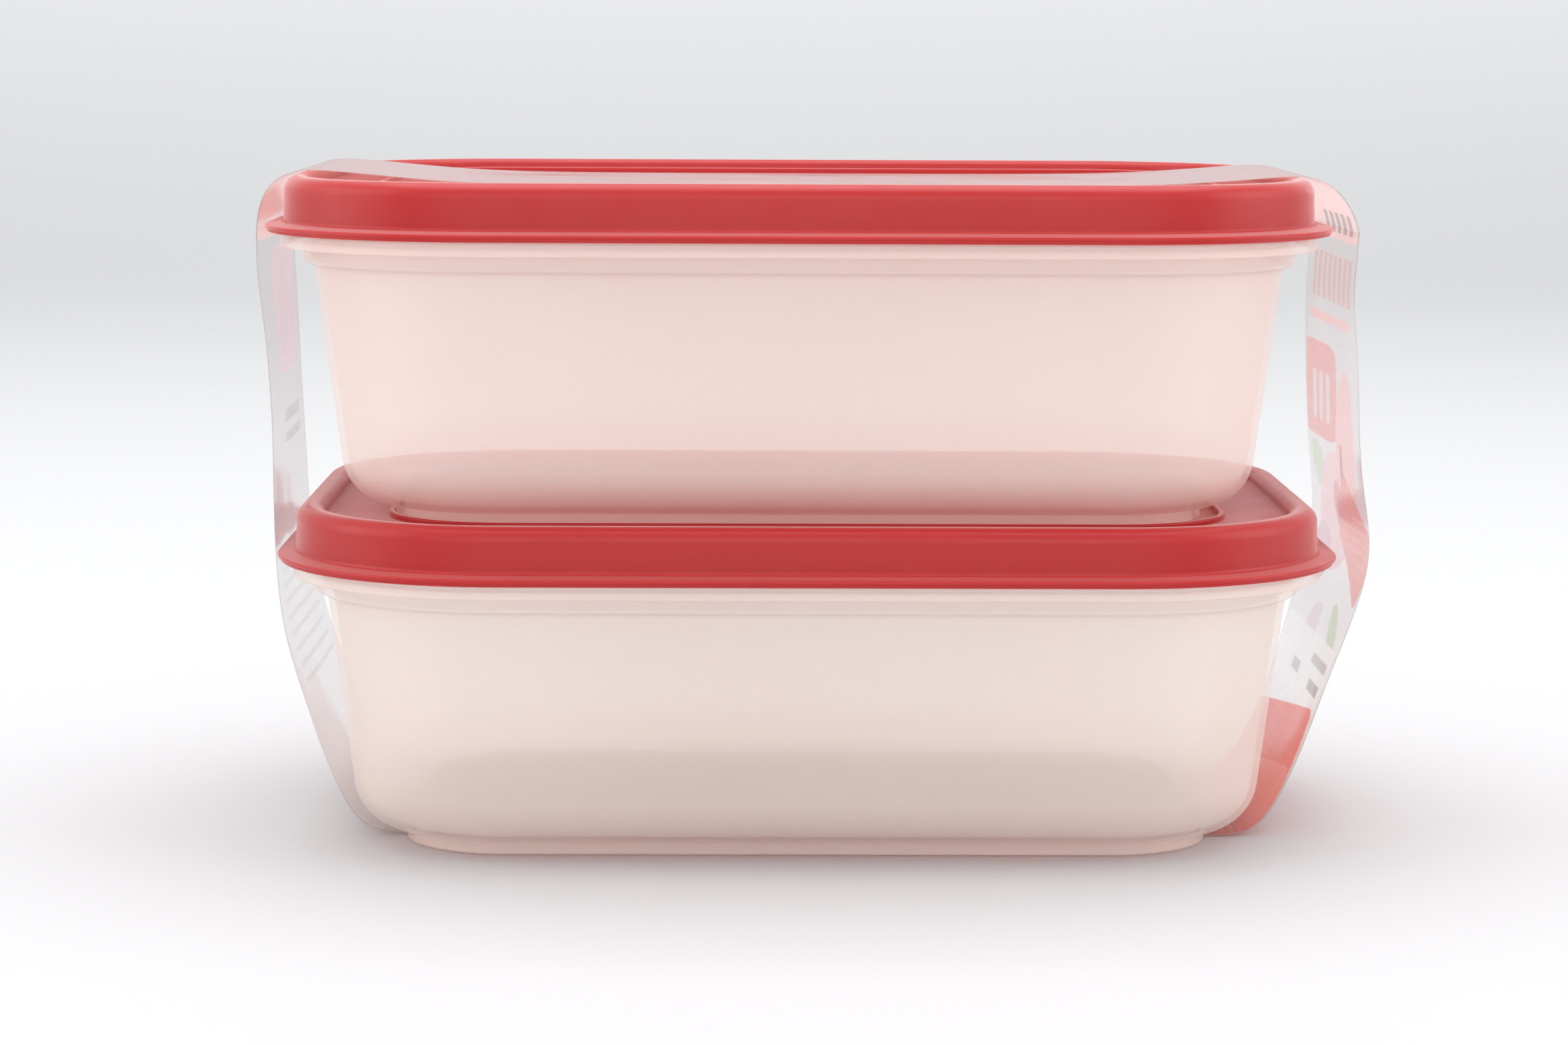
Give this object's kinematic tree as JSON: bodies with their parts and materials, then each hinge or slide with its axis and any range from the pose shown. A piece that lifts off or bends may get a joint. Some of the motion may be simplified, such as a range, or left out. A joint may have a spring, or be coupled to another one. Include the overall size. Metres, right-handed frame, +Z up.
{
  "type": "snap-lid food container two-pack",
  "caption": "Two stacked rectangular food containers with translucent tubs and coral snap lids, held together by a printed clear film band.",
  "frame": {"origin": "centre of the lower container, on the underside of the band's bottom run, which is the surface that the pack stands on", "axes": "+X along the long side, +Y to the back (the band slides off that way), +Z up through both containers"},
  "size_m": [0.1787, 0.122, 0.1072],
  "materials": {
    "tub_polypropylene": "translucent natural polypropylene, satin moulded",
    "lid_polyethylene": "translucent coral-red low-density polyethylene, satin moulded",
    "band_film": "clear polypropylene film, printed in pinks"
  },
  "bodies": {
    "lower_tub": {"lower_tub": "tub_polypropylene"},
    "lower_lid": {"lower_lid": "lid_polyethylene"},
    "upper_tub": {"upper_tub": "tub_polypropylene"},
    "upper_lid": {"upper_lid": "lid_polyethylene"},
    "band_wrap": {"band_wrap": "band_film"},
    "band_cap": {"band_cap": "band_film"}
  },
  "joints": [
    {"name": "lower_lid_lift", "type": "slide", "parent": "lower_tub", "child": "lower_lid", "axis": [0, 0, 1], "range_m": [0, 0.04]},
    {"name": "upper_tub_lift", "type": "slide", "parent": "lower_lid", "child": "upper_tub", "axis": [0, 0, 1], "range_m": [0, 0.04]},
    {"name": "upper_lid_lift", "type": "slide", "parent": "upper_tub", "child": "upper_lid", "axis": [0, 0, 1], "range_m": [0, 0.04]},
    {"name": "band_wrap_slide", "type": "slide", "parent": "lower_tub", "child": "band_wrap", "axis": [0, 1, 0], "range_m": [0, 0.1]},
    {"name": "band_cap_slide", "type": "slide", "parent": "upper_lid", "child": "band_cap", "axis": [0, 1, 0], "range_m": [0, 0.1]}
  ],
  "couplings": [
    {"joint": "band_cap_slide", "follows": "band_wrap_slide", "ratio": 1}
  ]
}
